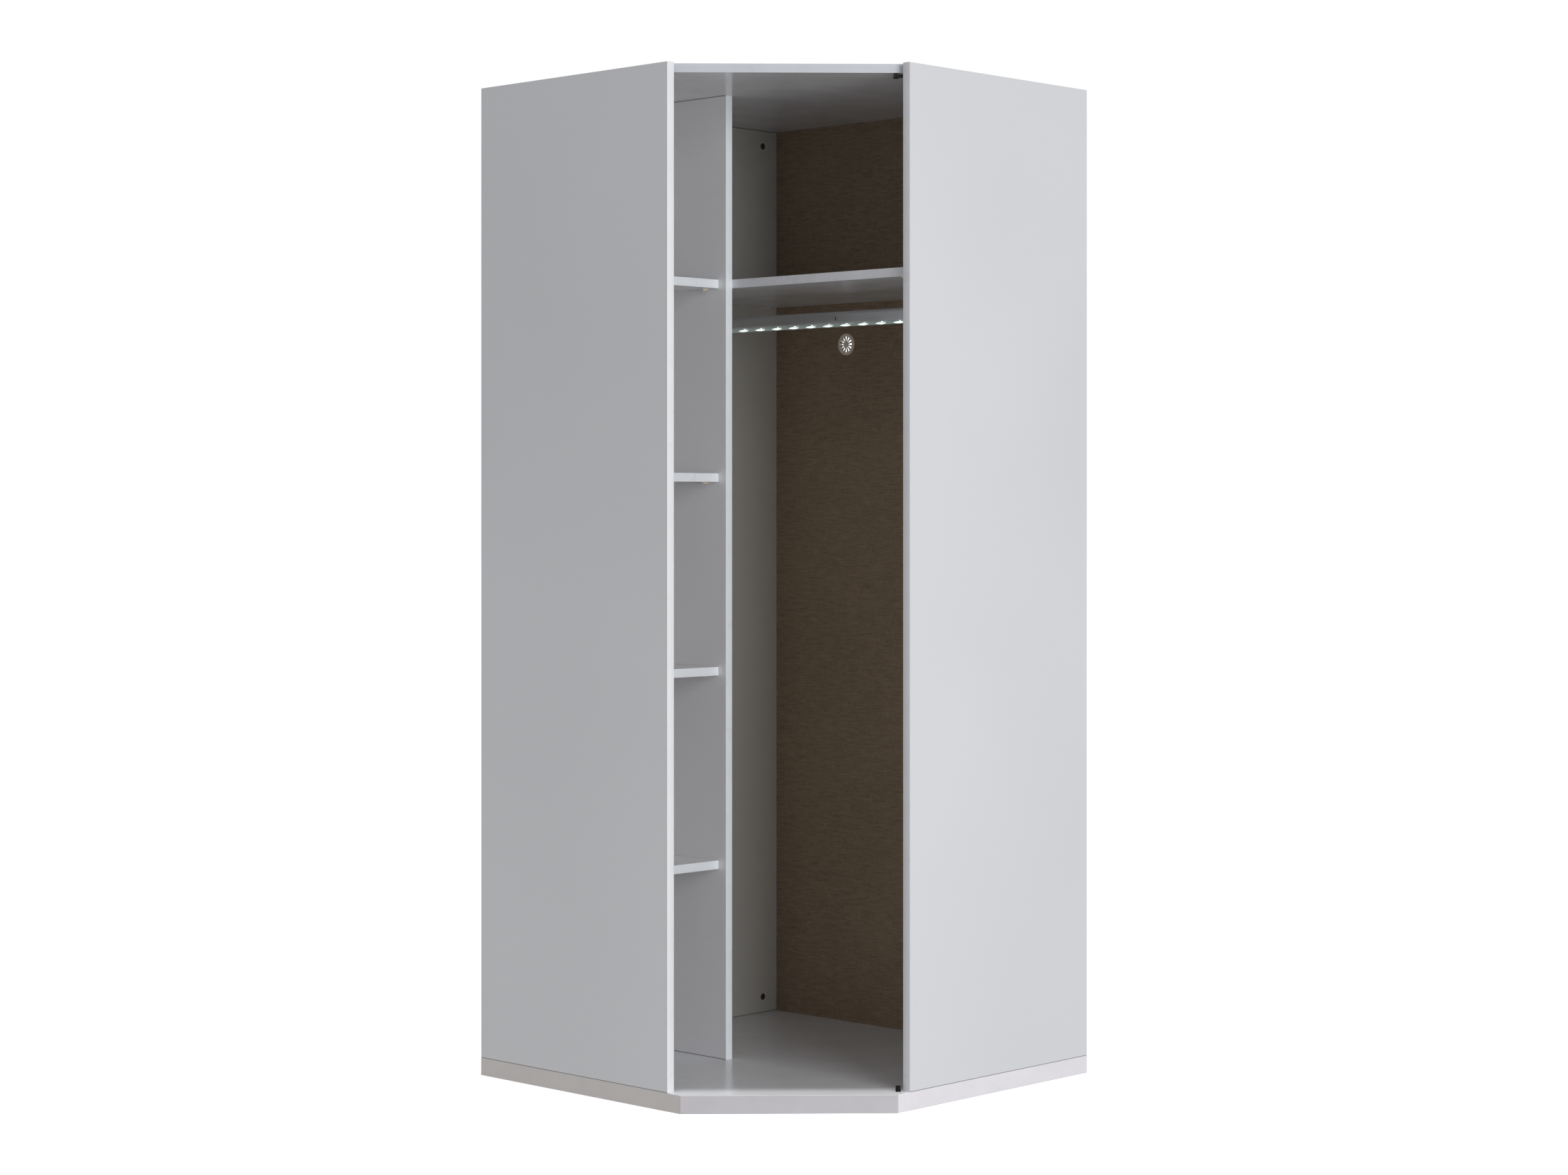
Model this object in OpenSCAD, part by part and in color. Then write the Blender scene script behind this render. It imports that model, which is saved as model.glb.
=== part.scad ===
// Corner wardrobe carcass with a diagonal front opening.
// Frame: +X runs along the linen-faced back towards the right side panel, +Y towards that back,
// +Z up, with the origin on the floor at the middle of the square that the two room walls make.

/* [Carcass] */
// Overall height
height = 2160; // [2050:10:2300]
// Length of each back edge along a room wall
wall_len = 940; // [900:5:1000]
// Depth of each side panel
side_depth = 587; // [560:1:610]
// Thickness of the carcass boards
board_t = 19; // [18:0.5:20]
// Room-wall side of the plain rear wall to its inner face, with the skirting gap
wall_inset = 27; // [25:1:32]
// Rear edge of the right side panel to the inner face of the linen-faced back
back_inset = 36; // [20:1:45]
// Thickness of the linen-faced back
back_t = 8; // [6:1:10]
// Depth of the grooves that hold the linen-faced back
groove_d = 7; // [5:1:8]
// Distance of the top board's front edge behind the line of the front corners
top_setback = 30; // [24:1:40]

/* [Base] */
// Height of the base
base_h = 38; // [34:1:44]
// Distance that the base stands out in front of the front corners
base_nose = 27; // [15:1:40]
// Thickness of the edging glued around the base
edging_t = 1; // [0.8:0.1:2]

/* [Inside] */
// Front edge of the divider, along X
divider_x = -64; // [-90:1:-40]
// Face of the divider towards the hanging space, along Y
divider_y = -99; // [-120:1:-80]
// Top of the hat shelf
hat_z = 1740; // [1700:1:1800]
// Spacing of the bay shelves below the hat shelf's level
shelf_pitch = 423; // [380:1:430]
// Distance of the bay shelves' front edge behind the divider's front edge
shelf_setback = 23; // [10:1:40]
// Distance of a shelf support from the shelf's front edge
support_setback = 37; // [30:1:60]

/* [Rail] */
// Centre of the clothes rail, along Y
rail_y = 167; // [120:1:220]
// Height of the clothes rail's centre
rail_z = 1664.5; // [1600:0.5:1670]
// Height of the oval rail section
rail_h = 30; // [28:1:34]
// Width of the oval rail section
rail_w = 15; // [15:0.5:18]
// Spacing of the light chips
chip_pitch = 53; // [30:1:60]

/* [Fittings] */
// Centre of the vent rosette, along X
vent_x = -216; // [-300:1:200]
// Height of the vent rosette's centre
vent_z = 1625; // [1000:5:1900]
// Diameter of the vent rosette
vent_d = 51; // [48:1:60]
// Number of slots in the vent rosette
vent_slots = 12; // [8:1:14]
// Diameter of the cam locks
cam_d = 15; // [15:0.5:16]
// Distance of a cam lock from the end of its board
cam_end = 37; // [30:1:40]
// Travel of the door damper's plunger
damper_travel = 5; // [3:0.5:6]

/* [Hidden] */
$fn = 48;
// Overlap of two touching shapes, and overshoot of a cutter past the face it opens
EPS = 0.01;
OVER = 1;
ROOT2 = sqrt(2);

// Hole spacing that cabinet fittings share
system_pitch = 32;

half = wall_len / 2;
in_left_y = -half + board_t;
in_right_x = half - board_t;
in_wall_x = -half + wall_inset;
in_back_y = half - back_inset;
left_front_x = -half + side_depth;
right_front_y = half - side_depth;
ceiling_z = height - board_t;

// A diagonal plane is x - y = c, and c falls as the plane moves back from the front corners.
top_c = side_depth - top_setback * ROOT2;
base_c = side_depth + base_nose * ROOT2;

// The base is a board with strips of the same thickness under its edges.
base_board_t = base_h / 2;
strip_w = 80;

divider_left_y = divider_y - board_t;
shelf_front_x = divider_x - shelf_setback;
bay_gap = 0.5;
shelf_count = 4;
support_front_x = shelf_front_x - support_setback;
support_rear_x = support_front_x - 9 * system_pitch;
hat_support_rear_y = in_back_y - support_setback;
hat_support_front_y = divider_y + support_setback;
hat_support_mid_x = support_front_x - 4 * system_pitch;

// Shelf supports: a peg in the board and a flat tongue under the shelf
peg_r = 2.5;
peg_gap = 0.05;
peg_len = 9;
peg_hole_depth = 10;
tongue_len = 14;
tongue_w = 9;
tongue_t = 4;
shelf_gap = 0.1;

// Cam locks, their bolts and the wooden dowels
cam_r = cam_d / 2;
cam_depth = 12.5;
cam_gap = 0.1;
cam_recess = 0.3;
cam_cross = [9, 1.5, 1.8];
bolt_r = 3;
bolt_bore_r = 4;
bolt_thread = 11;
bolt_head_r = 3.4;
bolt_head_start = 0.5;
bolt_head_len = 3;
bolt_neck_r = 2;
bolt_neck_len = 4;
bolt_gap = 0.05;
bolt_tip_gap = 0.5;
dowel_r = 4;
dowel_gap = 0.05;
dowel_len = 30;
dowel_hole_end = 1;
dowel_in_face = 11;
board_mid = board_t / 2;
cam_corner = 47;
wall_cam_ys = [in_back_y - cam_corner, -30, in_left_y + cam_corner];
wall_dowel_ys = [in_back_y - cam_corner - system_pitch, 150, -250];
divider_dowel_xs = [divider_x - 66, in_wall_x + 63];
side_cam_u = [60, 500];
side_dowel_u = [side_cam_u[0] + system_pitch, 300, side_cam_u[1] - system_pitch];

// Hinge plate holes on the left side panel, in pairs
hinge_setback = 37;
hinge_hole_r = 2.5;
hinge_hole_depth = 12;
hinge_zs = [138, 600, 1090, 1580, height - 120];

// Rail
rail_wall = 1.2;
rail_gap = 0.2;
bracket_t = 3;
bracket_w = 24;
bracket_h = 44;
collar_len = 9;
collar_wall = 1.6;
bracket_screw_len = 12;
bracket_screw_zs = [rail_z - 4, rail_z + 8];
screw_hole_r = 1.75;
screw_r = 1.7;
screw_head_r = 3.2;
screw_head_t = 1.6;
rail_x0 = in_wall_x + bracket_t;
rail_x1 = in_right_x - bracket_t;
rail_bottom = rail_z - rail_h / 2;
channel_w = 8;
channel_h = 4;
light_inset = 14;
pcb_t = 1;
pcb_w = 7;
chip_size = 3;
chip_t = 0.8;
lens_drop = 4.5;
lens_wall = 0.8;
lens_gap = 0.4;
sensor_x = (rail_x0 + rail_x1) / 2;
sensor_r = 1.9;
sensor_lens_gap = 0.05;
sensor_half_gap = 0.2;
sensor_drop = 1.5;
sensor_depth = 4;
cell_r = 5.25;
cell_len = 44.5;
cell_count = 3;
cell_gap = 0.1;
cell_button_r = 1.9;
cell_button_len = 0.9;
cell_x0 = rail_x0 + 60;
cell_z = rail_z + 2.5;
tray_t = 0.8;
tray_w = 12;
tray_end = 3;

// Vent
vent_hole_r = vent_d / 2 - 3.5;
vent_flange_t = 2;
vent_slot_out = vent_d / 2 - 7;
vent_slot_in = 8;
vent_slot_half_out = 3;
vent_slot_half_in = 1.1;
vent_collar_gap = 0.1;
vent_collar_wall = 1.5;
vent_groove_out = vent_d / 2 - 2;
vent_groove_in = vent_d / 2 - 3.2;
vent_groove_depth = 0.6;

// Door damper under the top board and door bumper on the base, in the front frame
front_mid = (left_front_x + half) / 2;
damper_x = 218.5;
damper_w = 11;
damper_y = 30.5;
damper_len = 32;
damper_h = 8;
damper_hole = [235, 78];
damper_hole_depth = 12;
damper_bore_gap = 0.1;
damper_wall = 2;
arm_t = 2.5;
arm_len = 20;
arm_lap = 4;
arm_ring_r = 4.5;
arm_hole_r = 1.9;
damper_screw_len = 12;
damper_screw_head_r = 3.4;
damper_screw_head_t = 1.8;
plunger_r = 2;
plunger_head_r = 2.7;
plunger_out = damper_travel + 9;
plunger_z = ceiling_z - damper_h / 2;
plunger_play = 0.05;
shoulder_t = 2.5;
spring_wire_r = 0.3;
spring_coil_r = 2.1;
spring_turns = 8;
spring_steps_per_turn = 12;
spring_wire_sides = 6;
spring_end_gap = 0.5;
bumper = [10.5, 12, 11.5];
bumper_at = [220.5, 4.5];

WHITE = "#e6e7ec";
SHADE = "#d9dadf";
LINEN = "#7d7263";
STEEL = "#b9bdc2";
BLACK = "#17171a";
CREAM = "#d8cfae";
ZINC = "#6f6b66";
BEECH = "#cfa97a";

// ---- shared shapes ----

// A box given by its lowest and highest corners
module span(lo, hi) {
    translate(lo) cube(hi - lo);
}

// The five-sided plan between two X and two Y lines, cut off by a diagonal front
module plan(x0, y0, x1, y1, c) {
    polygon([[x0, y0], [c + y0, y0], [x1, x1 - c], [x1, y1], [x0, y1]]);
}

// Puts its children in a frame at the middle of the front: X to the right, Y straight in
module front_frame() {
    translate([front_mid, -front_mid, 0]) rotate([0, 0, 45]) children();
}

// A cylinder from a point along +X, +Y or +Z; a negative length goes the other way
module rod(at, axis, r, len) {
    turn = axis == "x" ? [0, 90, 0] : axis == "y" ? [-90, 0, 0] : [0, 0, 0];
    translate(at) rotate(turn) translate([0, 0, min(len, 0)]) cylinder(r = r, h = abs(len));
}

// An oval section, width along X and height along Y
module oval(w, h) {
    square([w, h - w], center = true);
    for (s = [-1, 1]) translate([0, s * (h - w) / 2]) circle(d = w);
}

// The rail's section swept along X: sketch X becomes Y and sketch Y becomes Z
module along_rail(x0, x1) {
    translate([x0, rail_y, rail_z]) rotate([90, 0, 90]) linear_extrude(x1 - x0) children();
}

// ---- places of the repeated fittings ----

module at_bay_supports() {
    for (i = [0 : shelf_count - 1], x = [support_front_x, support_rear_x]) {
        z = hat_z - i * shelf_pitch - board_t;
        translate([x, in_left_y, z]) children();
        translate([x, divider_left_y, z]) rotate([0, 0, 180]) children();
    }
}

module at_hat_supports() {
    z = hat_z - board_t;
    for (y = [hat_support_front_y, hat_support_rear_y]) {
        translate([in_wall_x, y, z]) rotate([0, 0, -90]) children();
        translate([in_right_x, y, z]) rotate([0, 0, 90]) children();
    }
    translate([hat_support_mid_x, divider_y, z]) children();
}

// Every cam's place: local origin at the cam's mouth, +Y into the board, +Z along the bolt
module at_wall_cams() {
    for (y = wall_cam_ys) {
        translate([in_wall_x, y, ceiling_z - cam_end]) rotate([0, 0, 90]) children();
        translate([in_wall_x, y, base_h + cam_end]) rotate([0, 0, 90]) rotate([0, 180, 0])
            children();
    }
}

module at_side_low_cams() {
    for (u = side_cam_u) {
        translate([left_front_x - u, in_left_y, base_h + cam_end]) rotate([180, 0, 0]) children();
        translate([in_right_x, right_front_y + u, base_h + cam_end]) rotate([0, 0, -90])
            rotate([0, 180, 0]) children();
    }
}

module at_top_cams() {
    for (u = side_cam_u) {
        translate([left_front_x - u, in_left_y + cam_end, height]) rotate([90, 0, 0])
            rotate([0, 0, 180]) children();
        translate([in_right_x - cam_end, right_front_y + u, height]) rotate([90, 0, 90])
            rotate([0, 0, 180]) children();
    }
}

module at_all_cams() {
    at_wall_cams() children();
    at_side_low_cams() children();
    at_top_cams() children();
}

// Dowels: local +Z runs from the board's end towards the face that it meets.
module at_dowels() {
    for (y = wall_dowel_ys, top = [0, 1])
        translate([in_wall_x - board_mid, y, top ? ceiling_z : base_h])
            rotate([top ? 0 : 180, 0, 0]) children();
    for (x = divider_dowel_xs, top = [0, 1])
        translate([x, divider_y - board_mid, top ? ceiling_z : base_h])
            rotate([top ? 0 : 180, 0, 0]) children();
    for (u = side_dowel_u) {
        translate([left_front_x - u, -half + board_mid, base_h]) rotate([180, 0, 0]) children();
        translate([half - board_mid, right_front_y + u, base_h]) rotate([180, 0, 0]) children();
        translate([left_front_x - u, in_left_y, height - board_mid]) rotate([90, 0, 0]) children();
        translate([in_right_x, right_front_y + u, height - board_mid]) rotate([0, 90, 0]) children();
    }
}

// ---- holes that the fittings need ----

module peg_hole() {
    rod([0, EPS, -tongue_t / 2], "y", peg_r, -peg_hole_depth);
}

module cam_hole() {
    rod([0, -EPS, 0], "y", cam_r, cam_depth + EPS);
    rod([0, board_mid, 0], "z", bolt_bore_r, cam_end + EPS);
    rod([0, board_mid, cam_end - EPS], "z", bolt_r, bolt_thread + EPS);
}

module dowel_hole() {
    rod([0, 0, dowel_in_face + dowel_hole_end], "z", dowel_r, -dowel_len - 2 * dowel_hole_end);
}

module joinery_holes() {
    at_all_cams() cam_hole();
    at_dowels() dowel_hole();
}

module hinge_holes() {
    for (z = hinge_zs, s = [-1, 1])
        rod([left_front_x - hinge_setback, in_left_y + EPS, z + s * system_pitch / 2],
            "y", hinge_hole_r, -hinge_hole_depth);
}

// ---- boards ----

module back_sheet() {
    span([in_wall_x - groove_d, in_back_y, base_h - groove_d],
        [in_right_x + groove_d, in_back_y + back_t, ceiling_z + groove_d]);
}

module left_side_panel() {
    color(WHITE) difference() {
        span([-half, -half, base_h], [left_front_x, in_left_y, height]);
        at_bay_supports() peg_hole();
        joinery_holes();
        hinge_holes();
    }
}

module right_side_panel() {
    color(WHITE) difference() {
        span([in_right_x, right_front_y, base_h], [half, half, height]);
        back_sheet();
        at_hat_supports() peg_hole();
        joinery_holes();
        bracket_screw_holes();
    }
}

module rear_left_wall() {
    color(WHITE) difference() {
        span([in_wall_x - board_t, in_left_y, base_h], [in_wall_x, half, ceiling_z]);
        back_sheet();
        at_hat_supports() peg_hole();
        joinery_holes();
        bracket_screw_holes();
    }
}

module rear_right_back() {
    color(LINEN) difference() {
        back_sheet();
        rod([vent_x, in_back_y - OVER, vent_z], "y", vent_hole_r, back_t + 2 * OVER);
    }
}

module top_board() {
    color(WHITE) difference() {
        translate([0, 0, ceiling_z]) linear_extrude(board_t)
            plan(-half, in_left_y, in_right_x, half, top_c);
        back_sheet();
        joinery_holes();
        for (s = [-1, 1]) front_frame()
            rod([s * damper_hole[0], damper_hole[1], ceiling_z - EPS], "z", peg_r, damper_hole_depth);
    }
}

module bottom_board() {
    color(WHITE) difference() {
        translate([0, 0, base_h - base_board_t]) linear_extrude(base_board_t)
            plan(-half, -half + edging_t, half - edging_t, half, base_c - edging_t * ROOT2);
        back_sheet();
        joinery_holes();
    }
}

module divider_panel() {
    color(WHITE) difference() {
        span([in_wall_x, divider_left_y, base_h], [divider_x, divider_y, ceiling_z]);
        at_bay_supports() peg_hole();
        at_hat_supports() peg_hole();
        at_dowels() dowel_hole();
    }
}

module hat_shelf() {
    color(SHADE) span([in_wall_x, divider_y, hat_z - board_t], [in_right_x, in_back_y, hat_z]);
}

// Bay shelves count from the lowest; each lies loose on four supports.
module bay_shelf(i) {
    z = hat_z - (shelf_count - i) * shelf_pitch;
    color(SHADE) span([in_wall_x + bay_gap, in_left_y + bay_gap, z - board_t + shelf_gap],
        [shelf_front_x, divider_left_y - bay_gap, z]);
}

// ---- base ----

// The strips under the bottom board lie inside the edging and are cut to meet without overlapping.
module base_outline(inset) {
    plan(-half, -half + inset, half - inset, half, base_c - inset * ROOT2);
}

module front_band(inset, width) {
    intersection() {
        base_outline(inset);
        rotate([0, 0, 45]) translate([-half, (-base_c + inset * ROOT2) / ROOT2])
            square([wall_len, width]);
    }
}

module plinth_strip_front() {
    color(SHADE) linear_extrude(base_h - base_board_t) front_band(edging_t, strip_w);
}

module plinth_strip_left() {
    color(SHADE) linear_extrude(base_h - base_board_t) difference() {
        intersection() {
            base_outline(edging_t);
            translate([-half, -half]) square([wall_len, strip_w]);
        }
        front_band(0, strip_w + edging_t);
    }
}

module plinth_strip_right() {
    color(SHADE) linear_extrude(base_h - base_board_t) difference() {
        intersection() {
            base_outline(edging_t);
            translate([half - strip_w, -half]) square([strip_w, wall_len]);
        }
        front_band(0, strip_w + edging_t);
    }
}

module plinth_strip_rear_left() {
    color(SHADE) span([-half, -half + strip_w, 0], [-half + strip_w, half, base_h - base_board_t]);
}

module plinth_strip_rear_right() {
    color(SHADE)
        span([-half + strip_w, half - strip_w, 0], [half - strip_w, half, base_h - base_board_t]);
}

module base_edging_front() {
    color(SHADE) linear_extrude(base_h) difference() {
        front_band(0, 2 * edging_t);
        base_outline(edging_t);
    }
}

module base_edging_left() {
    color(WHITE) linear_extrude(base_h) difference() {
        base_outline(0);
        base_outline(edging_t);
        front_band(0, 2 * edging_t);
        translate([half - strip_w, -half]) square([strip_w, wall_len]);
    }
}

module base_edging_right() {
    color(WHITE) linear_extrude(base_h) difference() {
        base_outline(0);
        base_outline(edging_t);
        front_band(0, 2 * edging_t);
        translate([-half, -half]) square([wall_len, strip_w]);
    }
}

// ---- shelf supports ----

module support() {
    rod([0, 0, -tongue_t / 2], "y", peg_r - peg_gap, -peg_len);
    translate([-tongue_w / 2, 0, -tongue_t]) cube([tongue_w, tongue_len - tongue_w / 2, tongue_t]);
    translate([0, tongue_len - tongue_w / 2, -tongue_t]) cylinder(d = tongue_w, h = tongue_t);
}

module bay_shelf_supports() {
    color(CREAM) at_bay_supports() support();
}

module hat_shelf_supports() {
    color(CREAM) at_hat_supports() support();
}

// ---- rail and its light ----

// The open channel along the rail's lower edge, from just below the rail to its full height
module rail_channel() {
    translate([-channel_w / 2, -rail_h / 2 - EPS]) square([channel_w, channel_h + EPS]);
}

module clothes_rail() {
    color(STEEL) difference() {
        along_rail(rail_x0, rail_x1) difference() {
            oval(rail_w, rail_h);
            difference() {
                oval(rail_w - 2 * rail_wall, rail_h - 2 * rail_wall);
                translate([0, -rail_h / 2])
                    square([channel_w + 2 * rail_wall, 2 * (channel_h + rail_wall)], center = true);
            }
            rail_channel();
        }
        sensor_hole(sensor_r);
    }
}

module sensor_hole(r) {
    for (s = [-1, 1])
        rod([sensor_x, rail_y - rail_w / 2 - OVER, rail_z - sensor_drop + s * (sensor_r + sensor_half_gap)],
            "y", r, sensor_depth);
}

module bracket(x, s) {
    inner = [rail_w + 2 * rail_gap, rail_h + 2 * rail_gap];
    color(STEEL) difference() {
        translate([x, rail_y, rail_z]) rotate([90, 0, 90 * s]) {
            linear_extrude(bracket_t) oval(bracket_w, bracket_h);
            linear_extrude(bracket_t + collar_len) difference() {
                oval(inner[0] + 2 * collar_wall, inner[1] + 2 * collar_wall);
                oval(inner[0], inner[1]);
            }
        }
        bracket_screw_holes();
    }
}

module bracket_screw_holes() {
    len = bracket_screw_len + bracket_t + 2 * OVER;
    for (z = bracket_screw_zs) {
        rod([in_wall_x - bracket_screw_len - OVER, rail_y, z], "x", screw_hole_r, len);
        rod([in_right_x + bracket_screw_len + OVER, rail_y, z], "x", screw_hole_r, -len);
    }
}

module rail_bracket_wall() {
    bracket(in_wall_x, 1);
}

module rail_bracket_side() {
    bracket(in_right_x, -1);
}

// Flat-headed screws: the heads sit inside the end of the hollow rail.
module rail_bracket_screws() {
    len = bracket_screw_len + bracket_t;
    color(ZINC) for (z = bracket_screw_zs) {
        rod([in_wall_x - bracket_screw_len, rail_y, z], "x", screw_r, len + EPS);
        rod([in_wall_x + bracket_t, rail_y, z], "x", screw_head_r, screw_head_t);
        rod([in_right_x + bracket_screw_len, rail_y, z], "x", screw_r, -len - EPS);
        rod([in_right_x - bracket_t, rail_y, z], "x", screw_head_r, -screw_head_t);
    }
}

module light_board() {
    top = rail_bottom + channel_h;
    color("#e9ece6") span([rail_x0 + light_inset, rail_y - pcb_w / 2, top - pcb_t],
        [rail_x1 - light_inset, rail_y + pcb_w / 2, top]);
}

module light_chips() {
    run = rail_x1 - rail_x0 - 2 * light_inset - chip_pitch;
    n = floor(run / chip_pitch);
    z = rail_bottom + channel_h - pcb_t - chip_t;
    color("#f4f0c8") for (i = [0 : n])
        translate([sensor_x + (i - n / 2) * chip_pitch - chip_size / 2, rail_y - chip_size / 2, z])
            cube([chip_size, chip_size, chip_t]);
}

module light_cover() {
    w = channel_w - 2 * rail_gap;
    h = lens_drop + channel_h - pcb_t - chip_t - lens_gap;
    color("#dff2ee") along_rail(rail_x0 + light_inset, rail_x1 - light_inset)
        translate([0, -rail_h / 2 - lens_drop + w / 2]) difference() {
            union() {
                circle(d = w);
                translate([-w / 2, 0]) square([w, h - w / 2]);
            }
            circle(d = w - 2 * lens_wall);
            translate([-w / 2 + lens_wall, 0]) square([w - 2 * lens_wall, h]);
        }
}

module light_sensor() {
    color("#3a3d42") intersection() {
        sensor_hole(sensor_r - sensor_lens_gap);
        along_rail(sensor_x - rail_w, sensor_x + rail_w) difference() {
            oval(rail_w, rail_h);
            oval(rail_w - 2 * rail_wall, rail_h - 2 * rail_wall);
        }
    }
}

module battery_tray() {
    len = cell_count * cell_len;
    color(BLACK) difference() {
        translate([cell_x0 - tray_end, rail_y - tray_w / 2, cell_z - cell_r - tray_t])
            cube([len + 2 * tray_end, tray_w, cell_r + tray_t]);
        rod([cell_x0 - cell_gap, rail_y, cell_z], "x", cell_r + cell_gap, len + 2 * cell_gap);
    }
}

module battery_cells() {
    can_len = cell_len - cell_button_len - cell_gap;
    color("#8d8f93") for (i = [0 : cell_count - 1]) translate([cell_x0 + i * cell_len, rail_y, cell_z]) {
        rod([0, 0, 0], "x", cell_r, can_len);
        rod([can_len - EPS, 0, 0], "x", cell_button_r, cell_button_len);
    }
}

// ---- vent rosette ----

module vent_rosette() {
    color(LINEN) translate([vent_x, in_back_y, vent_z]) rotate([90, 0, 0]) difference() {
        union() {
            cylinder(d = vent_d, h = vent_flange_t);
            translate([0, 0, -back_t]) cylinder(r = vent_hole_r - vent_collar_gap, h = back_t + EPS);
        }
        translate([0, 0, -back_t - EPS]) cylinder(r = vent_hole_r - vent_collar_wall, h = back_t);
        translate([0, 0, vent_flange_t - vent_groove_depth]) linear_extrude(OVER) difference() {
            circle(r = vent_groove_out);
            circle(r = vent_groove_in);
        }
        for (i = [0 : vent_slots - 1]) rotate([0, 0, i * 360 / vent_slots]) translate([0, 0, -OVER])
            linear_extrude(vent_flange_t + 2 * OVER) polygon([
                [vent_slot_in, -vent_slot_half_in], [vent_slot_out, -vent_slot_half_out],
                [vent_slot_out, vent_slot_half_out], [vent_slot_in, vent_slot_half_in]
            ]);
    }
}

// ---- carcass joinery ----

module cam_locks() {
    color(ZINC) at_all_cams() difference() {
        rod([0, cam_recess, 0], "y", cam_r - cam_gap, cam_depth - cam_recess - cam_gap);
        rod([0, board_mid, 0], "z", bolt_bore_r, cam_end);
        for (turn = [0, 90]) rotate([0, turn, 0]) translate([-cam_cross[0] / 2, 0, -cam_cross[1] / 2])
            cube([cam_cross[0], cam_cross[2], cam_cross[1]]);
    }
}

module cam_bolts() {
    color(ZINC) at_all_cams() {
        neck_start = bolt_head_start + bolt_head_len;
        shank_start = neck_start + bolt_neck_len;
        rod([0, board_mid, bolt_head_start], "z", bolt_head_r, bolt_head_len);
        rod([0, board_mid, neck_start - EPS], "z", bolt_neck_r, bolt_neck_len + 2 * EPS);
        rod([0, board_mid, shank_start], "z", bolt_r - bolt_gap,
            cam_end + bolt_thread - bolt_tip_gap - shank_start);
    }
}

module wooden_dowels() {
    color(BEECH) at_dowels()
        rod([0, 0, dowel_in_face], "z", dowel_r - dowel_gap, -dowel_len);
}

// ---- door damper and bumper ----

module damper_housing() {
    mid_x = damper_x + damper_w / 2;
    side_x = damper_x + damper_w;
    color(BLACK) front_frame() difference() {
        union() {
            span([damper_x, damper_y, ceiling_z - damper_h], [side_x, damper_y + damper_len, ceiling_z]);
            span([side_x - arm_lap, damper_hole[1] - arm_len, ceiling_z - arm_t],
                [damper_hole[0] + arm_ring_r, damper_hole[1], ceiling_z]);
            rod([damper_hole[0], damper_hole[1], ceiling_z - arm_t], "z", arm_ring_r, arm_t);
        }
        rod([mid_x, damper_y - OVER, plunger_z], "y", plunger_r + damper_bore_gap,
            damper_wall + 2 * OVER);
        rod([mid_x, damper_y + damper_wall, plunger_z], "y", plunger_head_r + damper_bore_gap,
            damper_len - 2 * damper_wall);
        rod([damper_hole[0], damper_hole[1], ceiling_z - arm_t - OVER], "z", arm_hole_r,
            arm_t + 2 * OVER);
    }
}

// The plunger's shoulder rests on the housing's front wall, pushed there by the spring behind it.
module damper_plunger() {
    x = damper_x + damper_w / 2;
    y = damper_y + damper_wall + plunger_play;
    color(BLACK) front_frame() {
        rod([x, damper_y - plunger_out, plunger_z], "y", plunger_r, plunger_out + damper_wall + OVER);
        rod([x, y, plunger_z], "y", plunger_head_r, shoulder_t);
    }
}

// A round wire swept along the coil: one ring of points per step
module coil(len) {
    steps = spring_turns * spring_steps_per_turn;
    sides = spring_wire_sides;
    points = [for (i = [0 : steps], k = [0 : sides - 1])
        let (a = 360 * spring_turns * i / steps, b = 360 * k / sides,
            r = spring_coil_r + spring_wire_r * cos(b))
        [r * cos(a), len * i / steps + spring_wire_r * sin(b), r * sin(a)]];
    sides_faces = [for (i = [0 : steps - 1], k = [0 : sides - 1])
        let (a = i * sides + k, b = i * sides + (k + 1) % sides)
        [a, b, b + sides, a + sides]];
    caps = [[for (k = [sides - 1 : -1 : 0]) k], [for (k = [0 : sides - 1]) steps * sides + k]];
    polyhedron(points, concat(sides_faces, caps));
}

module damper_spring() {
    y0 = damper_y + damper_wall + shoulder_t + spring_end_gap;
    y1 = damper_y + damper_len - damper_wall - spring_end_gap;
    color(STEEL) front_frame() translate([damper_x + damper_w / 2, y0, plunger_z]) coil(y1 - y0);
}

module damper_screw() {
    color(ZINC) front_frame() {
        head_z = ceiling_z - arm_t - damper_screw_head_t;
        rod([damper_hole[0], damper_hole[1], ceiling_z - arm_t - EPS], "z", screw_hole_r, damper_screw_len);
        rod([damper_hole[0], damper_hole[1], head_z], "z", damper_screw_head_r, damper_screw_head_t);
    }
}

module door_bumper() {
    color(BLACK) front_frame() translate([bumper_at[0], bumper_at[1], base_h]) cube(bumper);
}

left_side_panel();
right_side_panel();
rear_left_wall();
rear_right_back();
top_board();
bottom_board();
plinth_strip_front();
plinth_strip_left();
plinth_strip_right();
plinth_strip_rear_left();
plinth_strip_rear_right();
base_edging_front();
base_edging_left();
base_edging_right();
divider_panel();
hat_shelf();
bay_shelf(1);  // bay_shelf_1
bay_shelf(2);  // bay_shelf_2
bay_shelf(3);  // bay_shelf_3
bay_shelf(4);  // bay_shelf_4
bay_shelf_supports();
hat_shelf_supports();
clothes_rail();
rail_bracket_wall();
rail_bracket_side();
rail_bracket_screws();
light_board();
light_chips();
light_cover();
light_sensor();
battery_tray();
battery_cells();
vent_rosette();
cam_locks();
cam_bolts();
wooden_dowels();
damper_housing();
damper_plunger();
damper_spring();
damper_screw();
door_bumper();
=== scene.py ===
"""Corner wardrobe: builds the finish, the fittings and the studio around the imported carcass."""

import math

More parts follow.
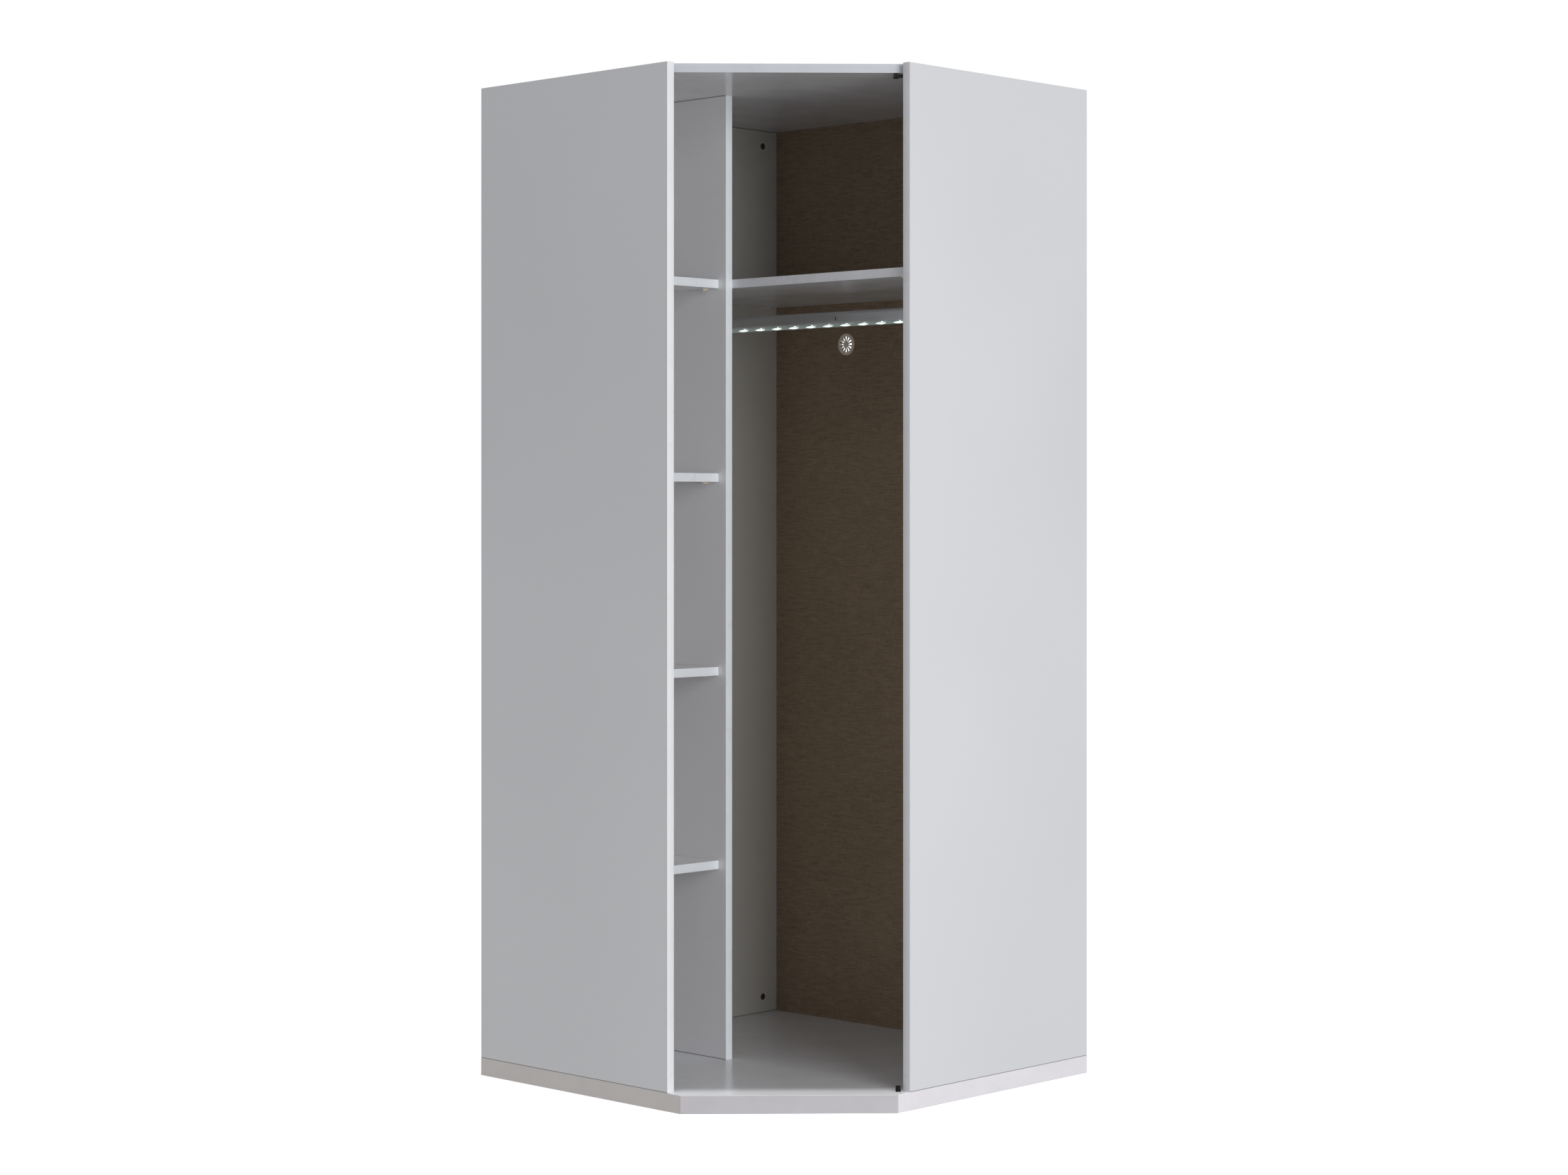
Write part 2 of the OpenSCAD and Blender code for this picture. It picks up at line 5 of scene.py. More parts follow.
import bpy
import numpy as np
from bpy.props import FloatProperty, FloatVectorProperty, PointerProperty
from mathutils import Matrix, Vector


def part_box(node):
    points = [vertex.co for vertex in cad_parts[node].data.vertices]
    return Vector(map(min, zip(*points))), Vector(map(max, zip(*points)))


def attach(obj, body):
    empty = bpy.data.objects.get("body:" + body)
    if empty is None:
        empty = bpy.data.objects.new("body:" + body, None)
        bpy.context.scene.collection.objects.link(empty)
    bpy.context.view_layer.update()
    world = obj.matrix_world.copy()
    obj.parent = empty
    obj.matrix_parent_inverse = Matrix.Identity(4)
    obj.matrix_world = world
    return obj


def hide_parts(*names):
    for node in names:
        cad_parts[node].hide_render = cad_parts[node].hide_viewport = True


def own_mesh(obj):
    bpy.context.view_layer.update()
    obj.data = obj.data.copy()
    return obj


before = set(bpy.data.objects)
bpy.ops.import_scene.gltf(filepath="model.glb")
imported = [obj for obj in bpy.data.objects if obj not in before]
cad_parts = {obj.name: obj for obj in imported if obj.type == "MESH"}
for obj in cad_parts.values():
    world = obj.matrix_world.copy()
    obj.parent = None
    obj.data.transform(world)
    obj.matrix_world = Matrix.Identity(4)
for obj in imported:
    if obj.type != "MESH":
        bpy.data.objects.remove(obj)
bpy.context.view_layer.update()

bl_info = {
    "name": "Corner wardrobe",
    "version": (1, 0, 0),
    "blender": (4, 5, 0),
    "location": "3D View > Sidebar > Wardrobe",
    "description": "Finishes, fittings and studio of a corner wardrobe with an open diagonal front",
    "category": "Add Mesh",
}

MM = 0.001
ROOT2 = math.sqrt(2)
X, Y, Z = np.eye(3)
OUT_OF_FRONT = (X - Y) / ROOT2
ALONG_FRONT = (X + Y) / ROOT2
# Wave texture: bands repeat every pi / 10 of a unit at scale 1
WAVE_PERIOD = math.pi / 10
# Shadow gap in mm where an upright board meets the base or the top, drawn wider than the real 0.5
GAP = 1.5


def linear(code):
    """An sRGB hex colour as linear RGB, by the standard curve."""
    values = [int(code[i : i + 2], 16) / 255 for i in (0, 2, 4)]
    return tuple(v / 12.92 if v <= 0.04045 else ((v + 0.055) / 1.055) ** 2.4 for v in values)


def colour(name, code, description):
    """A colour property whose default is an sRGB hex colour."""
    return FloatVectorProperty(
        name=name, description=description, subtype="COLOR", size=3, min=0, max=1, default=linear(code)
    )


def length(name, mm, description):
    """A length property whose default is given in millimetres."""
    return FloatProperty(
        name=name, description=description, subtype="DISTANCE", unit="LENGTH", min=0, default=mm * MM
    )


# ---- properties ----


class WardrobeColours(bpy.types.PropertyGroup):
    """Colours of the finishes."""

    foil: colour("Foil", "e2e3e7", "White decor foil on the side panels and the bottom board")
    # The next two are the same white foil with painted light and shade: lighter on the divider, the shelves
    # and the top board, and darker and warmer on the rear wall, as the shade and the warm light from the
    # brown back.
    inner_foil_painted_light: colour("Inner foil", "ececef", "Fresher foil on the divider, the shelves and the top board")
    wall_foil_painted_shade: colour("Wall foil", "d9d8d3", "Warmer foil on the rear wall")
    edging: colour("Edging", "dcdde2", "White strip glued to the boards' front edges")
    # The next three are the same strip as above with painted light and shade: lighter on the edges that face
    # the key light at the right, lightest on the left panel's edge, and darker, as painted shade, on the top
    # board's edge.
    bright_edging: colour("Bright edging", "f3f7ff", "Whiter strip on the edges that face the right")
    left_edging: colour("Left edging", "f8fcff", "Brightest strip, on the left panel")
    cool_edging: colour("Cool edging", "cfd3da", "Cooler strip on the front edge of the top board")
    # The base's three strips are one edging in three tones, with the light and shade of each side painted in:
    # lightest on the right, which faces the key light, and darkest at the front.
    base_front: colour("Base front", "d1ced4", "Strip along the front of the base")
    base_left: colour("Base left", "ded9d7", "Strip along the left side of the base")
    base_right: colour("Base right", "f5f2f8", "Strip along the right side of the base")
    chip_dark: colour("Dark chips", "8a6a45", "Darker chips in a raw chipboard edge")
    chip_light: colour("Light chips", "d0b283", "Lighter chips in a raw chipboard edge")
    linen_dark: colour("Linen shade", "7d6b58", "Hollows of the linen weave")
    linen_light: colour("Linen thread", "ae9982", "Raised threads of the linen weave")
    fibreboard: colour("Fibreboard", "8c6f50", "Raw reverse of the linen-faced back")
    nylon: colour("Nylon", "ebe2c8", "Shelf supports")
    aluminium: colour("Aluminium", "e8eaec", "Anodised clothes rail")
    zinc: colour("Zinc", "6a635c", "Darkened cam locks, bolts and screws")
    vent: colour("Vent", "c8bbac", "Moulded vent rosette")
    black: colour("Black plastic", "101012", "Damper, bumper and battery tray")
    beech: colour("Beech", "c79c68", "Dowels")
    light: colour("Light", "effff8", "Light of the chips in the rail")


class WardrobeSizes(bpy.types.PropertyGroup):
    """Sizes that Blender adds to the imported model."""

    board_arris: length("Board arris", 1.2, "Rounding of the boards' edges")
    band_thickness: length("Edging thickness", 1.5, "Thickness of the strip on a front edge")
    band_proud: length("Edging step", 0.25, "How far the strip stands out from the board's edge")
    fitting_arris: length("Fitting arris", 0.5, "Rounding of moulded fittings")
    rail_wall: length("Rail wall", 1.2, "Wall of the rail's aluminium tube")
    thread: length("Thread spacing", 1.4, "Linen weave, drawn coarser than the real 0.5 mm so that it shows")


class WardrobeStudio(bpy.types.PropertyGroup):
    """Camera and lights."""

    eye: FloatVectorProperty(
        name="Eye", description="Where the camera stands", subtype="TRANSLATION", unit="LENGTH",
        default=(4.6222, -4.8128, 1.2393),
    )
    heading: FloatProperty(
        name="Heading", description="Turn of the camera about the vertical", subtype="ANGLE",
        default=math.radians(43.855),
    )
    lens: FloatProperty(
        name="Lens", description="Focal length on a 36 mm sensor", subtype="DISTANCE_CAMERA", default=69.86
    )
    shift: FloatProperty(name="Shift", description="How far the lens is shifted upwards", default=-0.0502)
    backdrop: FloatProperty(name="Backdrop", description="White seen behind the object", min=0, default=1.05)
    ambient: FloatProperty(name="Ambient", description="Even light from all round", min=0, default=0.40)
    key: FloatProperty(
        name="Key", description="Soft box at the right of the opening", subtype="POWER", default=143.0
    )
    overhead: FloatProperty(name="Overhead", description="Light from straight above", min=0, default=1.7)
    overhead_spread: FloatProperty(
        name="Overhead spread", description="Angle over which the light from above spreads", subtype="ANGLE",
        default=math.radians(1.6),
    )


# ---- surfaces ----


def box(node):
    """Lowest and highest corner of a CAD node, in millimetres."""
    return [np.array(corner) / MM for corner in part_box(node)]


def reach(node, way):
    """How far a CAD node reaches along a direction from the origin, in millimetres."""
    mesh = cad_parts[node].data
    co = np.empty(len(mesh.vertices) * 3)
    mesh.vertices.foreach_get("co", co)
    return (co.reshape(-1, 3) @ way).max() / MM


def frame_box(node, axes):
    """Lowest and highest corner of a CAD node measured along three given axes, in millimetres."""
    return np.array([[-reach(node, -a), reach(node, a)] for a in axes]).T


def outline(core, steps):
    """A rounded convex polygon, as the corner each point turns about and the point's direction from it.

    At a corner the direction turns evenly from the normal of the side before to that of the side after."""
    core = np.asarray(core, float)
    side = np.roll(core, -1, 0) - core
    after = np.arctan2(-side[:, 0], side[:, 1])
    before = np.roll(after, 1)
    turn = (after - before) % (2 * np.pi)
    theta = (before[:, None] + turn[:, None] * np.linspace(0, 1, steps + 1)).ravel()
    return np.repeat(core, steps + 1, 0), np.stack((np.cos(theta), np.sin(theta)), 1)


def prism(core, rows, steps=6):
    """Grid of a rounded polygon carried up Z.

    Row (r, z) holds each corner plus r times its direction, at height z."""
    corner, way = outline(core, steps)
    rows = np.asarray(rows, float)
    flat = corner + rows[:, 0, None, None] * way
    height = np.broadcast_to(rows[:, 1, None, None], flat.shape[:2] + (1,))
    return np.concatenate((flat, height), 2)


def round_off(radius, low, high, arris, steps=3):
    """Rows (r, z) of a straight side with a quarter circle of the given arris at each end."""
    t = np.linspace(0, np.pi / 2, steps + 1)
    foot = np.stack((radius - arris + arris * np.sin(t), low + arris - arris * np.cos(t)), 1)
    head = np.stack((foot[::-1, 0], low + high - foot[::-1, 1]), 1)
    return np.concatenate((foot, head))


def dot(size=1e-3):
    """The core of a circle: a square too small to see."""
    return [(-size, -size), (size, -size), (size, size), (-size, size)]


def place(points, at, x=X, y=Y, z=Z):
    """Local points moved to a place, with the local axes along x, y and z."""
    return np.asarray(points) @ np.array([x, y, z]) + np.asarray(at, float)


def surface(points, wrap=(False, True), caps=(True, True), keep=None):
    """Vertices and faces of a grid: cell (i, j) joins rows i, i + 1 to columns j, j + 1.

    A wrapped way closes on itself, caps say whether the first and the last row are filled in, and keep
    drops the cells where it is false."""
    rows, columns = points.shape[:2]
    index = np.arange(rows * columns).reshape(rows, columns)
    if wrap[0]:
        index = np.vstack((index, index[:1]))
    if wrap[1]:
        index = np.hstack((index, index[:, :1]))
    cells = np.stack((index[:-1, :-1], index[:-1, 1:], index[1:, 1:], index[1:, :-1]), -1)
    faces = (cells if keep is None else cells[keep]).reshape(-1, 4).tolist()
    if caps[0]:
        faces.append(index[0, :columns][::-1].tolist())
    if caps[1]:
        faces.append(index[rows - 1, :columns].tolist())
    return points.reshape(-1, 3), faces


def along_x(section, stations):
    """Grid of a section (y, z) carried along X through the stations."""
    points = np.empty((len(stations), len(section), 3))
    points[..., 0] = stations[:, None]
    points[..., 1:] = section
    return points


def new_object(name, data):
    """A new object in the scene."""
    made = bpy.data.objects.new(name, data)
    bpy.context.scene.collection.objects.link(made)
    return made


def piece(name, parts, material, body, nodes=(), modifiers=(), smooth=40):
    """One object from parts in millimetres, with its finish, its body and the nodes it replaces."""
    points, faces, start = [], [], 0
    for part_points, part_faces in parts:
        points.append(part_points)
        faces += [[v + start for v in face] for face in part_faces]
        start += len(part_points)
    mesh = bpy.data.meshes.new(name)
    mesh.from_pydata((np.concatenate(points) * MM).tolist(), [], faces)
    mesh.validate()
    mesh.shade_smooth()
    mesh.set_sharp_from_angle(angle=math.radians(smooth))
    mesh.materials.append(material)
    made = new_object(name, mesh)
    modify(made, modifiers)
    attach(made, body)
    if nodes:
        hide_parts(*nodes)
    return made


def modify(obj, modifiers):
    """Adds modifiers, each given as its kind and a dict of its settings."""
    for kind, settings in modifiers:
        made = obj.modifiers.new(kind.title(), kind)
        for key, value in settings.items():
            setattr(made, key, value)


def finish_nodes(material, names, arris=0.0):
    """Gives CAD nodes a material, and rounds their edges with a Bevel after their triangles are welded."""
    for name in names:
        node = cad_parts[name]
        node.data.materials.clear()
        node.data.materials.append(material)
        if arris:
            modify(node, [
                ("WELD", {"merge_threshold": 1e-5}),
                ("BEVEL", {
                    "width": arris, "segments": 3, "limit_method": "ANGLE", "angle_limit": math.radians(35),
                    "use_clamp_overlap": False, "loop_slide": False,
                }),
            ])


# ---- materials ----


def add(tree, kind, *values, out=None, **named):
    """Adds a shader node with its settings and links, and returns its first output or the one that out names.

    Values fill the inputs in their order. Of the other names, those with a capital are inputs and the rest
    are settings. An input takes a number, a colour, a vector or the output of another node."""
    node = tree.nodes.new("ShaderNode" + kind)
    for key, value in named.items():
        if key[0].islower():
            setattr(node, key, value)
    inputs = [socket for socket in node.inputs if socket.enabled]
    by_name = {socket.name: socket for socket in reversed(inputs)}
    fed = list(zip(inputs, values))
    fed += [(by_name[key.replace("_", " ")], value) for key, value in named.items() if key[0].isupper()]
    for socket, value in fed:
        if isinstance(value, bpy.types.NodeSocket):
            tree.links.new(value, socket)
        elif socket.type == "RGBA":
            socket.default_value = (*value, 1)
        else:
            socket.default_value = value
    return node.outputs[out] if out else next((socket for socket in node.outputs if socket.enabled), None)


def material(name):
    """An empty material, its node tree, and the Object coordinates that its patterns read."""
    made = bpy.data.materials.new(name)
    made.use_nodes = True
    made.node_tree.nodes.clear()
    return made, made.node_tree, add(made.node_tree, "TexCoord", out="Object")


def principled(made, tree, **inputs):
    """Ends a material's tree with a Principled shader, and returns the material."""
    add(tree, "OutputMaterial", add(tree, "BsdfPrincipled", **inputs))
    return made


def blend(tree, share, first, second):
    """A colour mixed from two."""
    return add(tree, "Mix", share, first, second, data_type="RGBA")


def calc(tree, operation, *values):
    """A Math node's result."""
    return add(tree, "Math", *values, operation=operation)


def per_mm(*sizes):
    """The scale of a pattern whose features have a given size, or sizes along X, Y and Z, in millimetres."""
    scales = tuple(1 / (size * MM) for size in sizes)
    return scales if len(scales) > 1 else scales[0]


def shade(rgb, factor):
    """A colour made darker or lighter by a factor."""
    return tuple(min(1.0, c * factor) for c in rgb)


def foil_board(c, name, rgb, joints):
    """Melamine foil on chipboard: a hard satin skin with a faint pearl grain, and raw chips at sawn edges.

    joints are the heights, in mm, of the middles of the shadow gaps that cross the board."""
    made, tree, spot = material(name)
    # The pearl grain is 0.6 mm and is drawn at 2.5. The pressed sheet is slightly wavy over a hand's width.
    grain = add(tree, "TexNoise", spot, Scale=per_mm(2.5), Detail=3.0)
    wave = add(tree, "TexNoise", spot, Scale=per_mm(140), Detail=1.0)
    drift = add(tree, "TexNoise", spot, Scale=per_mm(600), Detail=1.0)
    tone = blend(tree, drift, shade(rgb, 0.94), shade(rgb, 1.05))
    x, y, z = (add(tree, "SeparateXYZ", spot, out=axis) for axis in "XYZ")
    # Compare counts its bounds as inside, so the faces at a gap's top and bottom are kept out by a hair.
    hair = 0.05
    for joint in joints:
        inside = calc(tree, "COMPARE", z, joint * MM, (GAP / 2 - hair) * MM)
        tone = blend(tree, inside, tone, shade(rgb, 0.35))
    # Behind the walls' planes lie only sawn edges, of chips about 3 mm long with finer fluff between them.
    low, high = box("bottom_board")
    behind = 0.2
    at_left = calc(tree, "LESS_THAN", x, (low[0] + behind) * MM)
    at_back = calc(tree, "GREATER_THAN", y, (high[1] - behind) * MM)
    raw = calc(tree, "MAXIMUM", at_left, at_back)
    chip = add(tree, "TexVoronoi", spot, Scale=per_mm(3), out="Color")
    crack = add(tree, "TexVoronoi", spot, Scale=per_mm(3))
    fluff = add(tree, "TexNoise", spot, Scale=per_mm(1.2), Detail=4.0)
    wood = blend(tree, chip, c.chip_dark, c.chip_light)
    wood = blend(tree, fluff, wood, shade(c.chip_dark, 0.5))
    polish = add(tree, "TexNoise", spot, Scale=per_mm(90), Detail=3.0)
    polish = calc(tree, "MULTIPLY_ADD", polish, 0.16, 0.14)
    dull = calc(tree, "MULTIPLY", raw, 0.85)
    skin = add(tree, "Bump", Height=wave, Distance=0.12 * MM)
    skin = add(tree, "Bump", Height=grain, Distance=0.012 * MM, Normal=skin)
    pits = calc(tree, "MULTIPLY", raw, crack)
    return principled(
        made, tree, IOR=1.5,
        Base_Color=blend(tree, raw, tone, wood),
        Roughness=calc(tree, "MAXIMUM", polish, dull),
        Normal=add(tree, "Bump", Height=pits, Distance=0.3 * MM, Normal=skin),
    )


def edging_strip(name, rgb, roughness):
    """ABS edging: a smooth extruded strip, faintly clouded by the glue under it."""
    made, tree, spot = material(name)
    cloud = add(tree, "TexNoise", spot, Scale=per_mm(60), Detail=3.0)
    grain = add(tree, "TexNoise", spot, Scale=per_mm(1.5))
    return principled(
        made, tree, IOR=1.5,
        Base_Color=blend(tree, cloud, shade(rgb, 0.92), shade(rgb, 1.06)),
        Roughness=calc(tree, "MULTIPLY_ADD", cloud, 0.2, roughness - 0.1),
        Normal=add(tree, "Bump", Height=grain, Distance=0.012 * MM),
    )


def linen_back(c, thread):
    """Paper embossed as linen, on fibreboard: matt, with slubbed threads that run mainly across."""
    made, tree, spot = material("linen_paper_on_fibreboard")
    scale = WAVE_PERIOD / thread
    weft = add(
        tree, "TexWave", spot, Scale=scale, Distortion=5.0, Detail_Scale=0.06, bands_direction="Z", out="Fac",
    )
    warp = add(tree, "TexWave", spot, Scale=scale * 0.9, Distortion=4.0, Detail_Scale=0.05, out="Fac")
    woven = calc(tree, "MULTIPLY", warp, 0.12)
    woven = calc(tree, "MULTIPLY_ADD", weft, 0.25, woven)
    # Each pattern's size across, through and up the board in mm, its detail and its share of the weave
    patterns = (
        (34, 34, 2.6, 3.0, 0.7),  # long slubs of the weft
        (12, 12, 1.5, 2.0, 0.45),  # short slubs of the weft
        (2.6, 2.6, 24, 2.0, 0.35),  # weaker slubs of the warp
        (260, 260, 260, 2.0, 0.2),  # slow drift of the dye
    )
    for *size, detail, part in patterns:
        place_in = add(tree, "Mapping", spot, Scale=per_mm(*size))
        slub = add(tree, "TexNoise", place_in, Scale=1.0, Detail=detail)
        woven = calc(tree, "MULTIPLY_ADD", slub, part, woven)
    woven = add(tree, "MapRange", woven, 0.72, 1.22)
    face = blend(tree, woven, c.linen_dark, c.linen_light)
    # The reverse is raw fibreboard, of felted fibres a few mm long.
    felt = add(tree, "TexNoise", add(tree, "Mapping", spot, Scale=per_mm(4, 4, 1.2)), Scale=1.0, Detail=4.0)
    fibre = blend(tree, felt, shade(c.fibreboard, 0.5), shade(c.fibreboard, 1.4))
    paper = 0.6
    depth = add(tree, "SeparateXYZ", spot, out="Y")
    reverse = calc(tree, "GREATER_THAN", depth, (box("rear_right_back")[0][1] + paper) * MM)
    return principled(
        made, tree, IOR=1.45, Specular_IOR_Level=0.35,
        Base_Color=blend(tree, reverse, face, fibre),
        Roughness=calc(tree, "MULTIPLY_ADD", woven, -0.18, 0.78),
        Normal=add(tree, "Bump", Height=woven, Distance=0.12 * MM),
    )


def moulded(name, rgb, roughness, grain=0.8, depth=0.02, contrast=0.08, **finish):
    """A moulded or cast part: a fine grain of a size and depth in mm, with a slow drift of tone and gloss."""
    made, tree, spot = material(name)
    fine = add(tree, "TexNoise", spot, Scale=per_mm(grain))
    slow = add(tree, "TexNoise", spot, Scale=per_mm(grain * 14))
    slow = add(tree, "MapRange", slow, 0.35, 0.65)
    dark, light = shade(rgb, 1 - contrast), shade(rgb, 1 + contrast)
    return principled(
        made, tree, **finish,
        Base_Color=blend(tree, slow, dark, light),
        Roughness=calc(tree, "MULTIPLY_ADD", slow, 0.12, roughness - 0.05),
        Normal=add(tree, "Bump", Height=fine, Distance=depth * MM),
    )


def vent_moulding(c, middle, ribs_from, ribs_to):
    """Taupe ABS with a painted glow, strongest at the rim and hub, and painted shade on the band of the deep
    ribs.

    The ribs lie between two radii about a middle on an axis along Y, all in mm."""
    made, tree, spot = material("translucent_taupe_abs")
    grain = add(tree, "TexNoise", spot, Scale=per_mm(0.7))
    from_middle = add(tree, "VectorMath", spot, tuple(middle * MM), operation="SUBTRACT")
    across = add(tree, "VectorMath", from_middle, (1.0, 0.0, 1.0), operation="MULTIPLY")
    radius = add(tree, "VectorMath", across, operation="LENGTH")
    band, half_band = (ribs_from + ribs_to) / 2 * MM, (ribs_to - ribs_from) / 2 * MM
    # Painted shade: the band of the ribs is darkened to a quarter. The emission below is a painted glow,
    # weakest on those ribs.
    rib = calc(tree, "COMPARE", radius, band, half_band)
    rim = blend(tree, grain, shade(c.vent, 0.85), shade(c.vent, 1.15))
    tone = blend(tree, rib, rim, shade(c.vent, 0.25))
    return principled(
        made, tree, IOR=1.5, Base_Color=tone, Emission_Color=tone, Emission_Strength=0.11,
        Roughness=calc(tree, "MULTIPLY_ADD", grain, 0.2, 0.4),
        Normal=add(tree, "Bump", Height=grain, Distance=0.02 * MM),
    )


def anodised_rail(c):
    """Anodised aluminium, drawn through a die: satin, with fine lines along the rail."""
    made, tree, spot = material("satin_anodised_aluminium")
    # The die lines are 0.1 mm apart and are drawn at 0.7 mm.
    lines = add(tree, "TexNoise", add(tree, "Mapping", spot, Scale=per_mm(220, 0.7, 0.7)), Scale=1.0)
    bloom = add(tree, "TexNoise", add(tree, "Mapping", spot, Scale=per_mm(90, 20, 20)), Scale=1.0)
    dark, light = shade(c.aluminium, 0.75), shade(c.aluminium, 1.1)
    return principled(
        made, tree, Metallic=1.0,
        Base_Color=blend(tree, lines, dark, light),
        Roughness=calc(tree, "MULTIPLY_ADD", bloom, 0.3, 0.35),
        Normal=add(tree, "Bump", Height=lines, Distance=0.012 * MM),
    )


def beech_wood(c):
    """Beech: pinkish, with short brown flecks along the grain of the dowel."""
    made, tree, spot = material("beech")
    along = add(tree, "Mapping", spot, Scale=per_mm(0.8, 0.8, 6))
    grain = add(tree, "TexNoise", along, Scale=1.0, Detail=4.0)
    return principled(
        made, tree, IOR=1.5,
        Base_Color=blend(tree, grain, shade(c.beech, 0.5), shade(c.beech, 1.3)),
        Roughness=calc(tree, "MULTIPLY_ADD", grain, -0.3, 0.8),
        Normal=add(tree, "Bump", Height=grain, Distance=0.05 * MM),
    )


def lit_cover(c, first_chip, pitch, top, drop):
    """Clear polycarbonate over the chips: a long bright lens of light at each chip, and a faint line between.

    The place and pitch of the chips, and the top and drop of the cover below the rail, are in metres."""
    made, tree, spot = material("lit_polycarbonate_cover")
    x, z = (add(tree, "SeparateXYZ", spot, out=axis) for axis in "XZ")
    from_first = calc(tree, "SUBTRACT", x, first_chip)
    offset = calc(tree, "PINGPONG", from_first, pitch / 2)
    along = add(tree, "MapRange", offset, 0.05 * pitch, 0.32 * pitch, 1.0, 0.0)
    # The glow thins out towards its ends: its half height goes as the square root of the share along it.
    height = calc(tree, "SUBTRACT", z, top - drop / 2)
    height = calc(tree, "MULTIPLY", height, 2 / drop)
    height = calc(tree, "ABSOLUTE", height)
    lens = calc(tree, "SUBTRACT", calc(tree, "SQRT", along), height)
    lens = add(tree, "MapRange", lens, 0.0, 0.7)
    power = calc(tree, "MULTIPLY_ADD", lens, 1.5, 0.1)
    return principled(
        made, tree, IOR=1.58, Roughness=0.12, Emission_Strength=1.0,
        Base_Color=(0.38, 0.46, 0.44),
        Emission_Color=add(tree, "VectorMath", tuple(c.light), power, operation="SCALE"),
    )


def lit_phosphor(c):
    """Phosphor under clear silicone, lit to near white, with the grain of its powder."""
    made, tree, spot = material("lit_phosphor")
    powder = add(tree, "TexNoise", spot, Scale=per_mm(0.7))
    tone = blend(tree, powder, shade(c.light, 0.6), tuple(c.light))
    return principled(
        made, tree, Base_Color=tone, Emission_Color=tone, Roughness=0.3, Emission_Strength=3.0,
    )


def studio_paint():
    """Matt white paint, rolled on: a fine orange peel. A faint glow keeps it white by the object."""
    made, tree, spot = material("rolled_studio_paint")
    peel = add(tree, "TexNoise", spot, Scale=per_mm(8), Detail=3.0)
    return principled(
        made, tree, Roughness=0.9, Emission_Color=(1.0, 1.0, 1.0), Emission_Strength=0.28,
        Base_Color=blend(tree, peel, linear("efefef"), linear("fcfcfc")),
        Normal=add(tree, "Bump", Height=peel, Distance=0.02 * MM),
    )


# ---- operators ----


def settings(context):
    """The three property groups of the scene."""
    scene = context.scene
    return scene.wardrobe_colours, scene.wardrobe_sizes, scene.wardrobe_studio


class WARDROBE_OT_stage(bpy.types.Operator):
    """Make the floor, the studio lights, the world and the camera"""

    bl_idname = "wardrobe.stage"
    bl_label = "Stage"

    def execute(self, context):
        _, _, studio = settings(context)
        scene = context.scene
        scene.view_settings.view_transform = "Standard"
        camera = new_object("studio_camera", bpy.data.cameras.new("studio_camera"))
        camera.location = studio.eye
        camera.rotation_euler = (math.radians(90), 0, studio.heading)
        camera.data.sensor_width = 36
        camera.data.lens = studio.lens
        camera.data.shift_y = studio.shift
        camera.data.clip_start, camera.data.clip_end = 0.05, 300
        scene.camera = camera

        world = bpy.data.worlds.new("white_studio")
        scene.world = world
        world.use_nodes = True
        tree = world.node_tree
        tree.nodes.clear()
        dim = add(tree, "Background", (1.0, 1.0, 1.0), studio.ambient)
        white = add(tree, "Background", (1.0, 1.0, 1.0), studio.backdrop)
        seen = add(tree, "LightPath", out="Is Camera Ray")
        add(tree, "OutputWorld", add(tree, "MixShader", seen, dim, white))

        # A soft box, taller than wide, turned to the opening
        box_light = bpy.data.lights.new("key_softbox", "AREA")
        box_light.shape, box_light.size, box_light.size_y = "RECTANGLE", 2.6, 3.2
        box_light.energy = studio.key
        lamp = new_object("key_softbox", box_light)
        lamp.location = (5.2, -1.55, 2.0)
        way = np.array((0.0, -0.2, 1.1)) - np.array(lamp.location)
        pitch = math.atan2(math.hypot(way[0], way[1]), -way[2])
        lamp.rotation_euler = (pitch, 0, math.atan2(-way[0], way[1]))
        sun = bpy.data.lights.new("overhead", "SUN")
        sun.energy, sun.angle = studio.overhead, studio.overhead_spread
        new_object("overhead", sun)

        # A flat disc: rings about the object, from the widest to the narrowest, with only the last filled in
        angle = np.linspace(0, 2 * np.pi, 96, endpoint=False)
        ring = np.array([60.0, 12.0, 4.0, 1.5, 0.2])[:, None]
        points = np.stack((ring * np.cos(angle), ring * np.sin(angle), 0 * ring * angle), 2)
        vertices, faces = surface(points, caps=(False, True))
        mesh = bpy.data.meshes.new("studio_floor")
        mesh.from_pydata(vertices.tolist(), [], faces)
        mesh.materials.append(studio_paint())
        floor = new_object("studio_floor", mesh)
        floor.visible_diffuse = False
        return {"FINISHED"}


